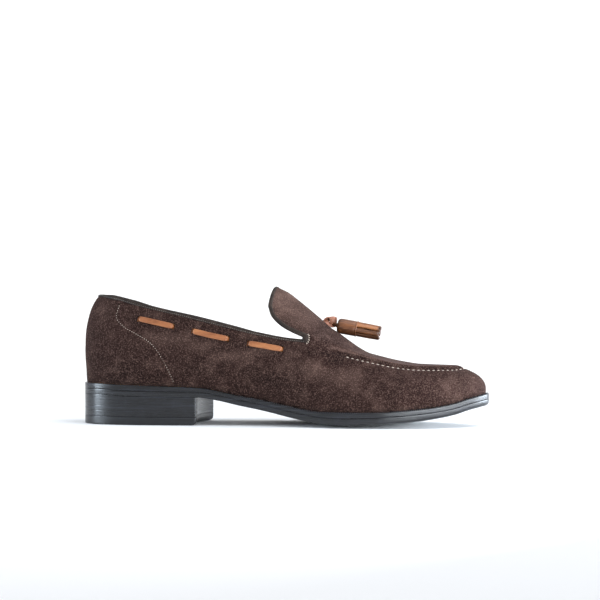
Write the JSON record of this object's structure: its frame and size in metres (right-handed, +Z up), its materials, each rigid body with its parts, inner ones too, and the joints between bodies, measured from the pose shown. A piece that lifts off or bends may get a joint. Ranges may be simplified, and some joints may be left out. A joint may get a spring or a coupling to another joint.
{
  "type": "tassel loafer",
  "caption": "Left tassel loafer in brown suede: raised apron seam, dark bound collar and tongue, tan side laces, tied tassels, and a black leather sole with a low stacked heel.",
  "frame": {"origin": "on the floor, under the middle of the heel", "axes": "+X from the heel to the toe, +Y from the inner side to the outer side of the foot, +Z up"},
  "size_m": [0.298, 0.0993, 0.1006],
  "materials": {
    "suede": "napped matt suede",
    "sole_leather": "black, satin",
    "heel_rubber": "matt",
    "lining": "smooth, tan",
    "binding": "dark green, satin",
    "lace_leather": "tan, waxed",
    "tassel_leather": "brown, satin"
  },
  "bodies": {
    "root": {"heel_stack": "sole_leather", "heel_top_piece": "heel_rubber", "insole": "lining", "outsole": "sole_leather", "side_lace_lateral": "lace_leather", "side_lace_medial": "lace_leather", "tassel_knot": "lace_leather", "tassel_lateral": "tassel_leather", "tassel_medial": "tassel_leather", "tongue_binding": "binding", "topline_binding": "binding", "upper": "suede", "welt": "sole_leather"}
  },
  "joints": []
}
